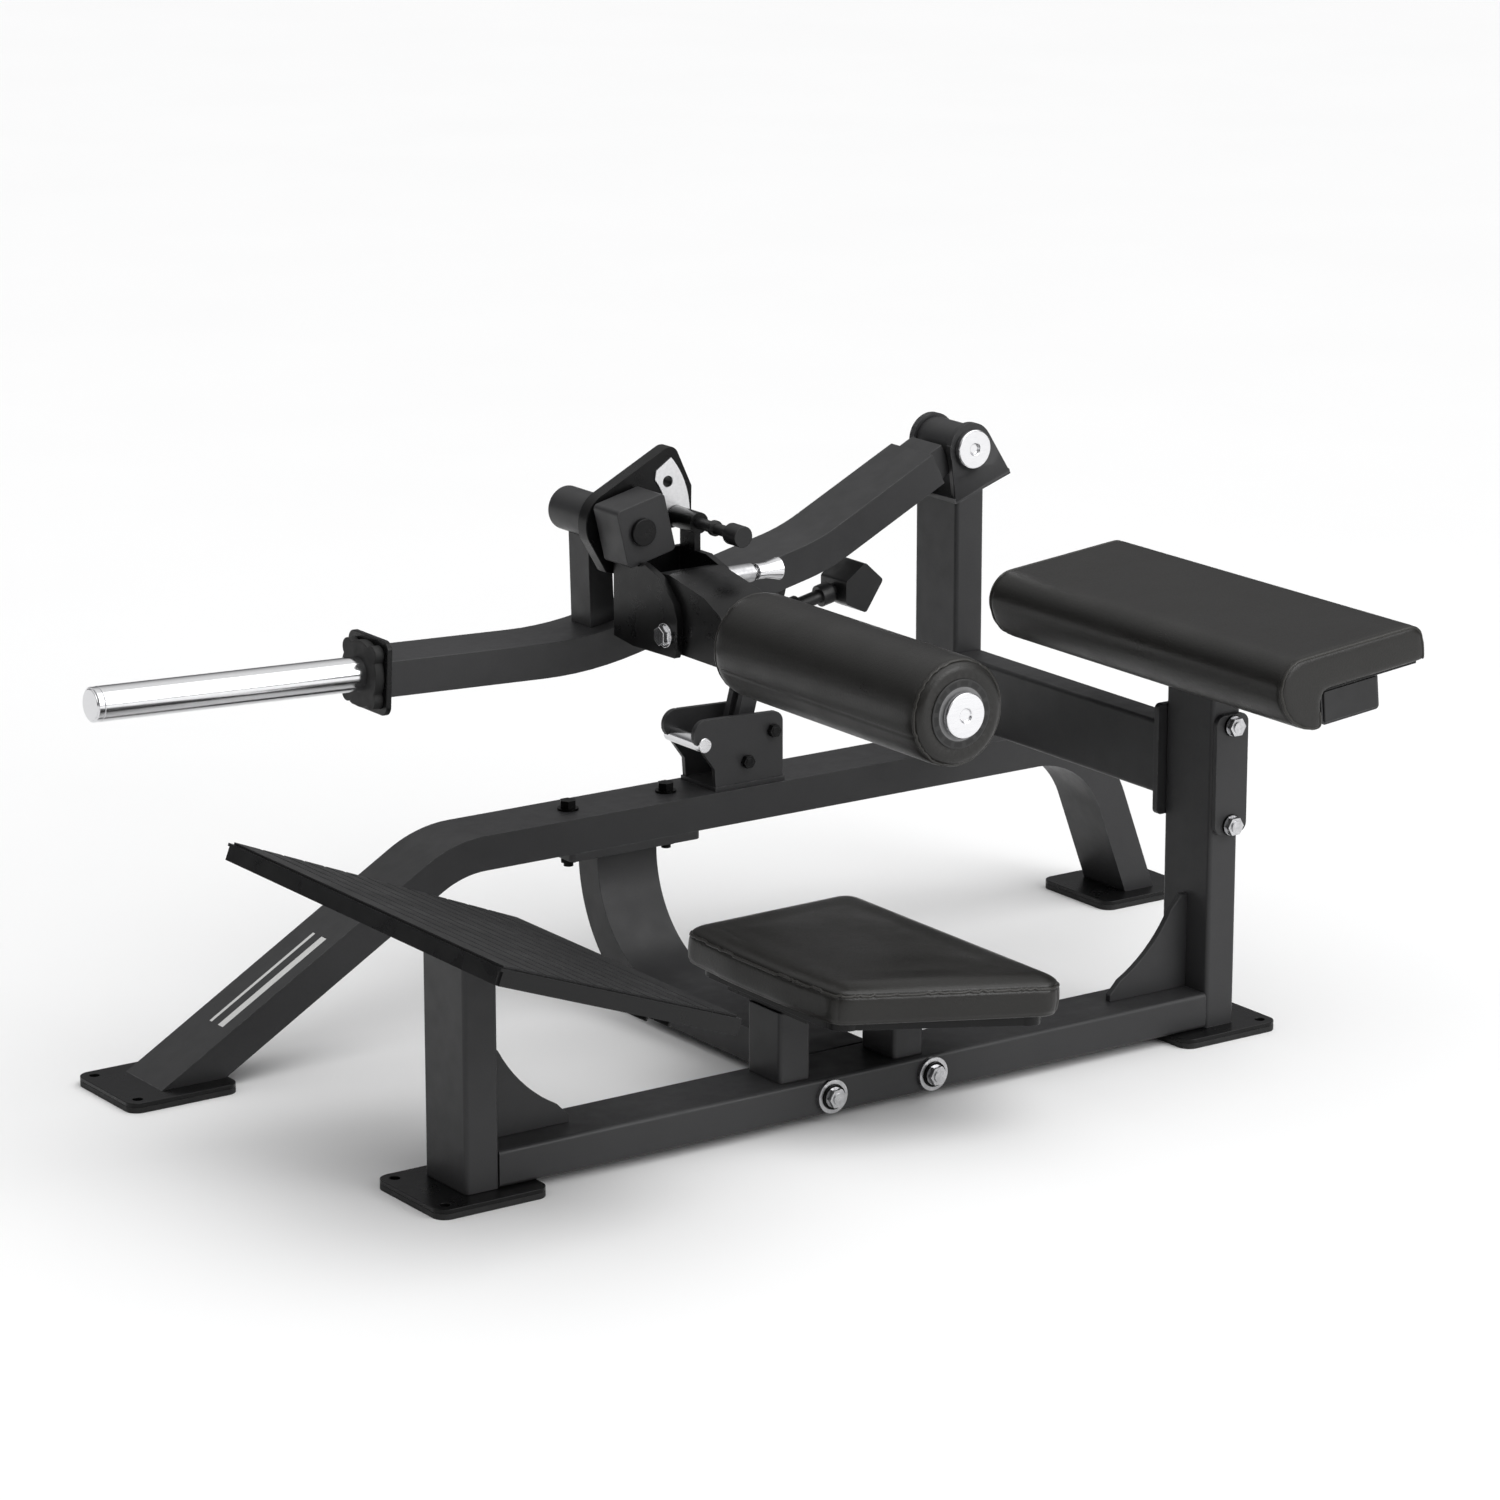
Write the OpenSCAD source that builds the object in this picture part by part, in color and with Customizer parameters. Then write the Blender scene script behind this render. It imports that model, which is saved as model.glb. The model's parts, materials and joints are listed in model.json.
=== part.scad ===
// Hip thrust machine: plate-loaded lever frame with seat, back pad, footplate and padded hip roller.
// Millimetres, +Z up, floor at Z = 0. X runs from the feet towards the back pad.
// Y = 0 is the user's middle plane; the lever side of the machine is at +Y.
// The origin is on the floor under the front face of the front post.

/* [Frame tube] */
// Wide side of the main rectangular tube
tube_w = 100; // [96:1:102]
// Narrow side of the main rectangular tube
tube_h = 50; // [48:1:51]
// Wall thickness of the main tube
wall = 3; // [2.5:0.5:4]
// Distance from the user's middle plane to the middle of the lever side
lever_y = 585; // [575:1:600]
// Height of the top face of the bent lever-side tube
arch_top = 285; // [281:1:288]
// Height of the pivot axis of the lever arm
pivot_z = 731; // [727:1:735]

/* [Feet] */
// Foot plate length along X
foot_l = 165; // [150:1:180]
// Foot plate width along Y
foot_w = 160; // [150:1:175]
// Steel thickness of a foot plate
foot_t = 6; // [5:0.5:7]
// Rubber thickness under a foot plate
rubber_t = 8; // [7:0.5:9]
// Floor anchor hole diameter
anchor_d = 14; // [10:1:16]

/* [Footplate] */
// Half length of the upper edge of the footplate
fp_top_half = 330; // [310:1:345]
// Half length of the lower edge of the footplate
fp_low_half = 262; // [250:1:275]
// Length of the footplate up its slope
fp_len = 424; // [400:1:440]
// Slope of the footplate
fp_tilt = 21.3; // [19:0.1:24]
// Depth of the folded edge of the footplate
fp_lip = 25; // [18:1:30]

/* [Seat] */
// Half width of the seat at its back edge
seat_back_half = 252; // [230:1:260]
// Half width of the seat at its front edge
seat_front_half = 176; // [160:1:185]
// Length of the seat
seat_len = 336; // [310:1:345]
// Thickness of the seat cushion
seat_pad_t = 56; // [50:1:60]
// Downward tilt of the seat towards its back edge
seat_tilt = 4.5; // [3:0.1:6]

/* [Back pad] */
// Half length of the back pad
back_half = 318; // [300:1:330]
// Thickness of the back pad cushion
back_pad_t = 44; // [40:1:48]
// Rise of the back pad towards its back edge
back_tilt = 5.5; // [4:0.1:7]

/* [Hip roller] */
// Outer diameter of the hip roller
roller_d = 145; // [135:1:150]
// Half length of the hip roller
roller_half = 232; // [215:1:236]
// Diameter of the fixed roller shaft
shaft_d = 30; // [28:0.5:32]
// Radial running clearance of turning parts
fit = 0.05; // [0.03:0.01:0.08]

/* [Weight horn] */
// Diameter of the weight horn
horn_d = 48; // [44:0.5:49.5]
// Length of the weight horn in front of its flange
horn_len = 412; // [380:1:430]

/* [Hidden] */
e = 0.01;
foot_top = foot_t + rubber_t;
rail_zc = foot_top + tube_h / 2;
rail_top = foot_top + tube_h;
post_back_x = 1204;
pivot_x = 1229;
pivot_d = 30;
sleeve_d = 64;
bush_t = 4;
arch_zc = arch_top - tube_h / 2;
leg_a = 30.28;
leg_b = 69.5;
arch_v1 = [354.4, arch_zc];
arch_v2 = [1463.8, arch_zc];
arch_p0 = [arch_v1[0] - 640 * cos(leg_a), arch_v1[1] - 640 * sin(leg_a)];
arch_p3 = [arch_v2[0] + 330 * cos(leg_b), arch_v2[1] - 330 * sin(leg_b)];
ly0 = lever_y - tube_w / 2;
ly1 = lever_y + tube_w / 2;
link_x = 648;
link_pitch = 165;
stop_x = 841;
stop_z = arch_top + 37;
strut_a = 15;
handle_a = 12;
handle_up = 196;
hub_x = 600;
hub_z = 705;
hub_d = 30;
roll_x = 637;
roll_z = 587.5;
fold_y = 375;
fold_z = 575;
fork_x0 = 592;
fork_x1 = 695;
fork_t = 10;
pin_x = 699;
pin_z = 703;
lock_y = 396;
lock_z = 638;
horn_a = 2.3;
flange_x = 244;
horn_z0 = 529;
lever_v0 = [flange_x + 8, horn_z0 - 0.3];
lever_v1 = [572.9, 515.8];
lever_v2 = [971.2, 607.8];
lever_v3 = [1171, 707.4];
back_cx = 1231;
back_cz = 534.5;
seat_x0 = 480;
seat_z0 = 237;
fp_x0 = -117;
fp_z0 = 411;

// ---------- helpers ----------

// rounded rectangle in 2D, centred, built from squares and circles
module rrect(a, b, r) {
  square([a - 2 * r, b], center = true);
  square([a, b - 2 * r], center = true);
  for (i = [-1, 1])
    for (j = [-1, 1])
      translate([i * (a / 2 - r), j * (b / 2 - r)])
        circle(r, $fn = 32);
}

// upright hollow tube: a along X, b along Y, from z0 to z1
module vtube(a, b, z0, z1, r = 6) {
  translate([0, 0, z0])
    difference() {
      linear_extrude(z1 - z0)
        rrect(a, b, r);
      translate([0, 0, -1])
        linear_extrude(z1 - z0 + 2)
          rrect(a - 2 * wall, b - 2 * wall, r - wall + 0.5);
    }
}

// cylinder along X, starting at x = 0
module xcyl(d, l) {
  rotate([0, 90, 0])
    cylinder(d = d, h = l, $fn = 64);
}

// cylinder along Y, from y = 0 towards +Y
module ycyl(d, l) {
  rotate([-90, 0, 0])
    cylinder(d = d, h = l, $fn = 64);
}

// hexagon bar along Y, from y = 0 towards +Y
module yhex(d, l) {
  rotate([-90, 0, 0])
    cylinder(d = d, h = l, $fn = 6);
}

// 2D profile in XZ pushed from y0 to y1
module xz(y0, y1) {
  translate([0, y1, 0])
    rotate([90, 0, 0])
      linear_extrude(y1 - y0)
        children();
}

// 2D profile in YZ pushed from x0 to x1
module yz(x0, x1) {
  translate([x0, 0, 0])
    rotate([90, 0, 90])
      linear_extrude(x1 - x0)
        children();
}

function dir(p, q) = atan2(q[1] - p[1], q[0] - p[0]);
function turn(p, q, s) = dir(q, s) - dir(p, q);
function cutback(p, q, s, r) = r * tan(abs(turn(p, q, s)) / 2);

// one edge of a bend in the XZ plane, g is the offset to the left of the path
function bend_edge(p, q, s, r, g) =
  let (a = dir(p, q), t = turn(p, q, s), c = cutback(p, q, s, r), k = sign(t), n = ceil(abs(t) / 3))
  let (m = q - c * [cos(a), sin(a)] + k * r * [-sin(a), cos(a)])
  [for (i = [0 : n]) m + (r - k * g) * [cos(a - k * 90 + t * i / n), sin(a - k * 90 + t * i / n)]];

// one edge of a whole bent bar with two bends
function bar_edge(p0, p1, p2, p3, r1, r2, g) = concat(
  [p0 + g * [-sin(dir(p0, p1)), cos(dir(p0, p1))]],
  bend_edge(p0, p1, p2, r1, g),
  bend_edge(p1, p2, p3, r2, g),
  [p3 + g * [-sin(dir(p2, p3)), cos(dir(p2, p3))]]);

// bar of section h x w through four points with two bends
module bent(p0, p1, p2, p3, r1, r2, h, w) {
  up = bar_edge(p0, p1, p2, p3, r1, r2, h / 2);
  low = bar_edge(p0, p1, p2, p3, r1, r2, -h / 2);
  n = len(low);
  xz(-w / 2, w / 2)
    polygon(concat(up, [for (i = [1 : n]) low[n - i]]));
}

// sheet corner brace with a hollow curved edge, leg length l
module gusset(l) {
  xz(-5, 5)
    difference() {
      polygon([[0, 0], [l, 0], [l, 10], [10, l], [0, l]]);
      translate([l * 1.62, l * 1.62])
        circle(l * 1.6, $fn = 180);
    }
}

// ---------- frame ----------

module base_rail() {
  color("#3b3b3d")
    translate([50, 0, rail_zc])
      difference() {
        yz(0, post_back_x - 50)
          rrect(tube_w, tube_h, 6);
        yz(-1, post_back_x - 49)
          rrect(tube_w - 2 * wall, tube_h - 2 * wall, 3.5);
        for (s = [-1, 1])
          translate([link_x - 50 + s * link_pitch / 2, -tube_w / 2 - 1, 0])
            ycyl(17, tube_w + 2);
      }
}

// everything above the plane that lies dz below the footplate sheet
module above_footplate(dz) {
  translate([fp_x0, -400, fp_z0])
    rotate([0, fp_tilt, 0])
      translate([-300, 0, -dz])
        cube([1000, 800, 600]);
}

module front_post() {
  color("#3b3b3d")
    difference() {
      translate([25, 0, 0])
        vtube(tube_h, tube_w, foot_top, 420);
      above_footplate(15);
    }
}

module back_post() {
  color("#3b3b3d")
    difference() {
      translate([post_back_x + 25, 0, 0])
        vtube(tube_h, tube_w, foot_top, 560);
      translate([back_cx, 0, back_cz])
        rotate([0, -back_tilt, 0])
          translate([-200, -200, -25])
            cube([400, 400, 200]);
      for (z = [304, 445])
        translate([post_back_x + 30, -tube_w / 2 - 1, z])
          ycyl(17, tube_w + 2);
    }
}

module arch_tube() {
  color("#3b3b3d")
    translate([0, lever_y, 0])
      difference() {
        bent(arch_p0, arch_v1, arch_v2, arch_p3, 165, 150, tube_h, tube_w);
        bent(arch_p0 + [arch_p0[0] - arch_v1[0], arch_p0[1] - arch_v1[1]] / 640, arch_v1, arch_v2,
             arch_p3 + [arch_p3[0] - arch_v2[0], arch_p3[1] - arch_v2[1]] / 330,
             165, 150, tube_h - 2 * wall, tube_w - 2 * wall);
        translate([-600, -200, foot_top - 500])
          cube([3000, 400, 500]);
        for (s = [-1, 1])
          translate([link_x + s * link_pitch / 2, 0, arch_top - tube_h - 1])
            cylinder(d = 15, h = tube_h + 2, $fn = 48);
      }
}

module upright() {
  color("#3b3b3d")
    difference() {
      translate([post_back_x + 25, lever_y, 0])
        vtube(tube_h, tube_w, arch_top, 760);
      translate([post_back_x, lever_y, 652 + pivot_z - 731])
        rotate([0, -19, 0])
          translate([-100, -100, 0])
            cube([300, 200, 200]);
    }
}

module cross_beam() {
  color("#38383a") {
    difference() {
      xz(60, ly0)
        translate([post_back_x + 25, 377])
          rrect(50, 104, 6);
      xz(59.9, ly0 + 1)
        translate([post_back_x + 25, 377])
          rrect(50 - 2 * wall, 104 - 2 * wall, 3.5);
    }
    difference() {
      xz(50, 60)
        translate([1229, 379])
          rrect(76, 158, 8);
      for (z = [304, 445])
        translate([post_back_x + 30, 49, z])
          ycyl(17, 12);
    }
  }
}

module curved_link() {
  yc = lever_y - 175;
  zc = rail_zc + 175;
  top = arch_top - tube_h;
  color("#38383a")
    difference() {
      union() {
        translate([link_x, yc, zc])
          rotate([0, 90, 0])
              rotate_extrude(angle = 90, $fn = 120)
                translate([150, -tube_w / 2])
                  square([tube_h, tube_w]);
        translate([link_x - tube_w / 2, lever_y - 25, zc - e])
          cube([tube_w, tube_h, top - 12 - zc + 2 * e]);
        translate([link_x - tube_w / 2, 62 - e, foot_top])
          cube([tube_w, yc - 62 + 2 * e, tube_h]);
        translate([link_x, lever_y, top - 12])
          linear_extrude(12)
            rrect(218, tube_w, 8);
        xz(50, 62)
          translate([link_x, rail_zc])
            rrect(218, tube_h, 8);
      }
      for (s = [-1, 1]) {
        translate([link_x + s * link_pitch / 2, lever_y, top - 13])
          cylinder(d = 15, h = 14, $fn = 48);
        translate([link_x + s * link_pitch / 2, 49, rail_zc])
          ycyl(17, 14);
      }
    }
}

module gussets() {
  color("#38383a") {
    translate([50, 0, rail_top])
      gusset(134);
    translate([post_back_x, 0, rail_top])
      mirror([1, 0, 0])
        gusset(134);
  }
}

module foot_steel(x, y, s) {
  color("#2b2b2c")
    translate([x, y, rubber_t])
      difference() {
        linear_extrude(foot_t)
          rrect(foot_l, foot_w, 18);
        for (j = [-1, 1])
          translate([s * (foot_l / 2 - 19), j * (foot_w / 2 - 19), -1])
            cylinder(d = anchor_d, h = foot_t + 2, $fn = 48);
      }
}

module foot_front_near() {
  foot_steel(25, 0, -1);
}

module foot_back_near() {
  foot_steel(post_back_x + 25, 0, 1);
}

module foot_front_far() {
  foot_steel(-95, lever_y, -1);
}

module foot_back_far() {
  foot_steel(1552, lever_y, 1);
}

module rubber_feet() {
  color("#151515")
    for (p = [[25, 0, -1], [post_back_x + 25, 0, 1], [-95, lever_y, -1], [1552, lever_y, 1]])
      translate([p[0], p[1], 0])
        difference() {
          linear_extrude(rubber_t)
            rrect(foot_l, foot_w, 18);
          for (j = [-1, 1])
            translate([p[2] * (foot_l / 2 - 19), j * (foot_w / 2 - 19), -1])
              cylinder(d = anchor_d + 4, h = rubber_t + 2, $fn = 48);
        }
}

// ---------- footplate ----------

// footplate axes: x down the slope from the upper edge, y across, z out of the sheet
module fp_axes() {
  translate([fp_x0, 0, fp_z0])
    rotate([0, fp_tilt, 0])
      children();
}

// outline of the footplate, pulled in by d
module fp_outline(d) {
  polygon([[d, -fp_top_half + d], [fp_len - d, -fp_low_half + d],
    [fp_len - d, fp_low_half - d], [d, fp_top_half - d]]);
}

module footplate_tray() {
  color("#333335")
    fp_axes()
      difference() {
        translate([0, 0, -fp_lip])
          linear_extrude(fp_lip - 3)
            fp_outline(0);
        translate([0, 0, -fp_lip - 1])
          linear_extrude(fp_lip - 6)
            fp_outline(4);
        for (j = [-1, 1])
          translate([0, j * fp_top_half, -fp_lip - 1])
            cylinder(d = 9, h = fp_lip - 6, $fn = 40);
      }
}

module footplate_tread() {
  color("#1c1c1d")
    fp_axes()
      difference() {
        translate([0, 0, -3])
          linear_extrude(3)
            fp_outline(5);
        for (i = [1 : 12])
          translate([12 + i * 30, -400, -0.9])
            cube([4, 800, 2]);
      }
}

module footplate_mount() {
  color("#232324")
    fp_axes()
      translate([62, -75, -15])
        cube([168, 150, 8]);
}

module footplate_rib() {
  color("#2b2b2c")
    fp_axes()
      difference() {
        translate([300, -235, -37])
          cube([40, 470, 30]);
        translate([304, -236, -38])
          cube([32, 472, 28]);
      }
}

// ---------- seat ----------

// seat axes: x from the front edge to the back edge, z out of the cushion
module seat_axes() {
  translate([seat_x0, 0, seat_z0])
    rotate([0, seat_tilt, 0])
      children();
}

// outline of the seat, pulled in by d
module seat_outline(d) {
  r = 24;
  a = seat_front_half - d;
  b = seat_back_half - d;
  polygon([[d + r, -a], [seat_len - d - r, -b + 5], [seat_len - d, -b + r + 4],
    [seat_len - d, b - r - 4], [seat_len - d - r, b - 5], [d + r, a], [d, a - r], [d, -a + r]]);
  for (j = [-1, 1]) {
    translate([d + r + 1.5, j * (a - r + 4.5)])
      circle(r - 1, $fn = 48);
    translate([seat_len - d - r - 1, j * (b - r - 3)])
      circle(r - 1, $fn = 48);
  }
}

module seat_cushion() {
  color("#2a2926")
    seat_axes() {
      translate([0, 0, -seat_pad_t])
        linear_extrude(seat_pad_t - 12)
          seat_outline(0);
      translate([0, 0, -12 - e])
        linear_extrude(6 + e)
          seat_outline(4);
      translate([0, 0, -6 - e])
        linear_extrude(6 + e)
          seat_outline(10);
    }
}

module seat_bracket() {
  color("#232324")
    seat_axes()
      translate([0, 0, -seat_pad_t - 12.3]) {
        linear_extrude(12)
          seat_outline(20);
        translate([22, -90, -6])
          cube([262, 180, 6 + e]);
      }
}

module seat_leg(x) {
  color("#3b3b3d")
    difference() {
      translate([x, 0, 0])
        vtube(50, 75, rail_top, 230);
      seat_axes()
        translate([-100, -200, -seat_pad_t - 18.3])
          cube([600, 400, 200]);
    }
}

module seat_posts() {
  for (x = [517, 702])
    seat_leg(x);
}

// ---------- back pad ----------

// back pad axes: x along the tilted tube section, y across, z out of the pad
module back_axes() {
  translate([back_cx, 0, back_cz])
    rotate([0, -back_tilt, 0])
      children();
}

module back_tube() {
  color("#3b3b3d")
    back_axes()
      difference() {
        xz(-300, 300)
          rrect(tube_w, tube_h, 6);
        xz(-301, 301)
          rrect(tube_w - 2 * wall, tube_h - 2 * wall, 3.5);
      }
}

module tube_plugs() {
  color("#1a1a1a")
    back_axes()
      for (j = [-1, 1])
        xz(j > 0 ? 292 : -303, j > 0 ? 303 : -292)
          rrect(tube_w - 2 * wall - 0.4, tube_h - 2 * wall - 0.4, 3.5);
}

module back_board() {
  color("#1f1d1a")
    back_axes()
      translate([-61, -back_half + 9, 25])
        cube([172, 2 * back_half - 18, 12]);
}

// side outline of the back cushion, its thick front edge hangs below the board
module back_outline() {
  t = 29;
  top = 37.3 + back_pad_t;
  zc = top - 39.5;
  translate([-62, t])
    square([182, top - 22 - t]);
  translate([-92, top - 23])
    square([190, 23]);
  translate([98, top - 22])
    circle(22, $fn = 64);
  translate([-91.5, zc])
    circle(39.5, $fn = 64);
  intersection() {
    translate([-67, zc])
      circle(64, $fn = 180);
    translate([-131, zc - 70])
      square([69, 70]);
  }
}

module back_cushion() {
  color("#2a2926")
    back_axes()
      difference() {
        xz(-back_half, back_half)
          back_outline();
        xz(-back_half + 8.7, back_half - 8.7)
          translate([-61.7, -60])
            square([173, 97.2]);
      }
}

// ---------- frame hardware ----------

module clamp_plate() {
  color("#3b3b3d")
    difference() {
      xz(-58, -50)
        translate([1234, 376])
          rrect(56, 170, 14);
      for (z = [304, 445])
        translate([post_back_x + 30, -59, z])
          ycyl(17, 10);
    }
}

// cross bolt along Y with a washer and hexagon at each end
module cross_bolt(x, z, y0, y1, d, wd, hd) {
  translate([x, y0 - 3, z])
    ycyl(wd, 3);
  translate([x, y1, z])
    ycyl(wd, 3);
  translate([x, y0 - 14, z])
    ycyl(d, y1 - y0 + 24);
  translate([x, y0 - 12, z])
    yhex(hd, 9 + e);
  translate([x, y1 + 3 - e, z])
    yhex(hd, 10);
}

module frame_bolts() {
  color("#8c8c8e") {
    for (z = [304, 445])
      cross_bolt(post_back_x + 30, z, -58, 60, 16, 30, 27);
    for (s = [-1, 1]) {
      translate([link_x + s * link_pitch / 2, -56, rail_zc])
        ycyl(46, 6);
      cross_bolt(link_x + s * link_pitch / 2, rail_zc, -56, 62, 16, 34, 27);
    }
    for (s = [-1, 1])
      translate([link_x + s * link_pitch / 2, lever_y, 0]) {
        translate([0, 0, arch_top])
          cylinder(d = 30, h = 3, $fn = 48);
        translate([0, 0, arch_top + 3 - e])
          cylinder(d = 24, h = 11, $fn = 6);
        translate([0, 0, arch_top - tube_h - 32])
          cylinder(d = 14, h = tube_h + 34, $fn = 48);
        translate([0, 0, arch_top - tube_h - 15])
          cylinder(d = 30, h = 3, $fn = 48);
        translate([0, 0, arch_top - tube_h - 26])
          cylinder(d = 24, h = 11 + e, $fn = 6);
      }
  }
}

// ---------- main pivot ----------

module pivot_bracket() {
  color("#3b3b3d")
    difference() {
      union() {
        for (y = [ly0, ly1 - 10])
          xz(y, y + 10)
            union() {
              translate([pivot_x, pivot_z])
                circle(37, $fn = 96);
              polygon([[pivot_x - 36.6, pivot_z + 6], [1203, 655], [1300, 688.4],
                       [pivot_x + 32, pivot_z + 19]]);
            }
        translate([post_back_x, 0, 652 + pivot_z - 731])
          rotate([0, -19, 0])
            translate([-1, ly0, 0])
              cube([104, tube_w, 8]);
      }
      translate([pivot_x, ly0 - 1, pivot_z])
        ycyl(pivot_d + 0.4, tube_w + 2);
    }
}

module pivot_shaft() {
  color("#b9b9bb")
    translate([pivot_x, ly0, pivot_z])
      ycyl(pivot_d, tube_w);
}

module pivot_caps() {
  color("#cfcfd1")
    for (y = [ly0 - 10, ly1])
      translate([pivot_x, y, pivot_z])
        difference() {
          ycyl(57, 10);
          translate([0, y < lever_y ? -1 : 6, 0])
            ycyl(16, 5);
        }
}

// ---------- lever arm ----------

module lever_arm() {
  color("#3b3b3d")
    translate([0, lever_y, 0])
      difference() {
        union() {
          bent(lever_v0, lever_v1, lever_v2, lever_v3, 560, 300, tube_h, tube_w);
          translate([1150, -36, 695])
            rotate([0, -26.5, 0])
              translate([0, 0, -23])
                cube([52, 72, 46]);
        }
        bent(lever_v0, lever_v1, lever_v2, lever_v3, 560, 300, tube_h - 2 * wall, tube_w - 2 * wall);
        translate([pivot_x, -60, pivot_z])
          ycyl(sleeve_d, 120);
      }
}

module lever_sleeve() {
  color("#3b3b3d")
    translate([pivot_x, ly0 + 11, pivot_z])
      difference() {
        ycyl(sleeve_d, tube_w - 22);
        translate([0, -1, 0])
          ycyl(pivot_d + 2 * bush_t + 2, tube_w - 20);
      }
}

module lever_bushes() {
  color("#7a6a45")
    for (y = [ly0 + 10.5, ly1 - 38.5])
      translate([pivot_x, y, pivot_z])
        difference() {
          ycyl(pivot_d + 2 * bush_t + 2, 28);
          translate([0, -1, 0])
            ycyl(pivot_d + 2 * fit, 30);
        }
}

// axes of the weight horn: x points out along the horn, origin on the flange front
module horn_axes() {
  translate([flange_x, lever_y, horn_z0])
    rotate([0, horn_a, 0])
      mirror([1, 0, 0])
        children();
}

module horn_flange() {
  color("#2b2b2c")
    horn_axes()
      yz(-8, 0)
        rrect(104, 104, 14);
}

module horn_stop() {
  color("#161616")
    horn_axes()
      difference() {
        yz(0, 14)
          union() {
            circle(46, $fn = 96);
            for (a = [0 : 90 : 270])
              rotate([0, 0, a + 45])
                translate([44, 0])
                  circle(13, $fn = 48);
          }
        translate([-1, 0, 0])
          xcyl(horn_d - 3.4, 16);
      }
}

module weight_horn() {
  color("#d9d9db")
    horn_axes() {
      xcyl(horn_d - 4, 14 + e);
      translate([14, 0, 0])
        xcyl(horn_d, horn_len - 14);
    }
}

module horn_cap() {
  color("#cfcfd1")
    horn_axes()
      translate([horn_len, 0, 0]) {
        xcyl(horn_d - 0.6, 9);
        translate([9 - e, 0, 0])
          xcyl(horn_d - 6, 2);
      }
}

module barrel_post() {
  color("#38383a")
    difference() {
      xz(lever_y - 25, lever_y + 25)
        polygon([[590, 540.1], [630, 545], [624, 690], [586, 690]]);
      translate([hub_x, lever_y - 30, hub_z])
        ycyl(62, 60);
      translate([0, lever_y, 0])
        bent(lever_v0, lever_v1, lever_v2, lever_v3, 560, 300, tube_h, tube_w);
    }
}

module barrel() {
  color("#38383a")
    translate([hub_x, ly0, hub_z])
      difference() {
        ycyl(62, tube_w);
        translate([0, -1, 0])
          ycyl(hub_d, tube_w - 7);
      }
}

module barrel_shaft() {
  color("#a9a9ab")
    translate([hub_x, 444.5, hub_z])
      ycyl(hub_d, ly1 - 8 - 444.5);
}

// flat index plate, held by the barrel and by the shaft
module sector_plate() {
  color("#2e2e30")
    difference() {
      xz(ly0 - 22, ly0)
        polygon(concat(
          [for (a = [112 : 6 : 214]) [hub_x + 47 * cos(a), hub_z + 47 * sin(a)]],
          [[586, 636], [626, 628], [639, 681], [727, 688], [728, 742]],
          [for (a = [20 : 8 : 116]) [690 + 17 * cos(a), 784 + 17 * sin(a)]]));
      translate([hub_x, ly0 - 23, hub_z])
        ycyl(hub_d, 24);
      for (a = [0, 30])
        translate([hub_x + 99 * cos(a - 1.2), ly0 - 23, hub_z + 99 * sin(a - 1.2)])
          ycyl(16.4, 24);
    }
}

module sector_strip() {
  color("#d0d0d2")
    difference() {
      xz(ly0 - 24, ly0 - 22)
        intersection() {
          difference() {
            translate([hub_x, hub_z])
              circle(123, $fn = 180);
            translate([hub_x, hub_z])
              circle(84, $fn = 180);
          }
          polygon([[670, 698], [760, 689], [760, 830], [668, 770], [660, 730]]);
        }
      for (a = [0, 30])
        translate([hub_x + 99 * cos(a - 1.2), ly0 - 25, hub_z + 99 * sin(a - 1.2)])
          ycyl(16.4, 4);
    }
}

// ---------- roller carriage ----------

module hub_box() {
  color("#3e3e40")
    difference() {
      translate([hub_x + 7, 0, hub_z])
        rotate([0, -13.5, 0])
          xz(445, 505)
            rrect(80, 84, 7);
      translate([hub_x, 440, hub_z])
        ycyl(hub_d + 2 * fit, 80);
    }
}

module hub_cap() {
  color("#2b2b2c")
    translate([hub_x, 437.5, hub_z])
      ycyl(38, 7);
}

// side outline of the fork cheeks in the YZ plane
module cheek() {
  polygon([[505, 549], [457, 543], [356, 546], [349, 560], [349, 600],
           [358, 622], [390, 652], [430, 664], [505, 664]]);
}

module fork() {
  color("#262627")
    difference() {
      union() {
        for (x = [fork_x0, fork_x1])
          yz(x, x + fork_t)
            cheek();
        xz(495, 505)
          polygon([[fork_x0, 549], [fork_x1 + fork_t, 549], [fork_x1 + fork_t, 664], [fork_x0, 664]]);
      }
      translate([fork_x0 - 1, fold_y, fold_z])
        xcyl(16, 120);
      translate([fork_x1 - 1, lock_y, lock_z])
        xcyl(12.1, 12);
      translate([hub_x + 7, 0, hub_z])
        rotate([0, -13.5, 0])
          xz(440, 510)
            square([80, 84], center = true);
    }
}

// holder that stands on the fork and guides the index pin
module pin_bracket() {
  color("#2e2e30")
    difference() {
      union() {
        translate([pin_x, 452, pin_z])
          ycyl(30, 56);
        translate([fork_x1, 458, 664 - 0.02])
          cube([fork_t, 36, 30]);
      }
      translate([pin_x, 451, pin_z])
        ycyl(16 + 2 * fit, 60);
    }
}

module index_pin() {
  color("#1b1b1c")
    translate([pin_x, 0, pin_z]) {
      translate([0, 372, 0])
        ycyl(16, 138);
      translate([0, 410, 0])
        ycyl(22, 8);
      translate([0, 345, 0])
        ycyl(30, 30);
    }
}

module plunger_body() {
  color("#8c8c8e")
    difference() {
      translate([fork_x1 + fork_t, lock_y, lock_z])
        xcyl(26, 42);
      translate([fork_x1 + fork_t - 1, lock_y, lock_z])
        xcyl(12 + 2 * fit, 44);
    }
}

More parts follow.
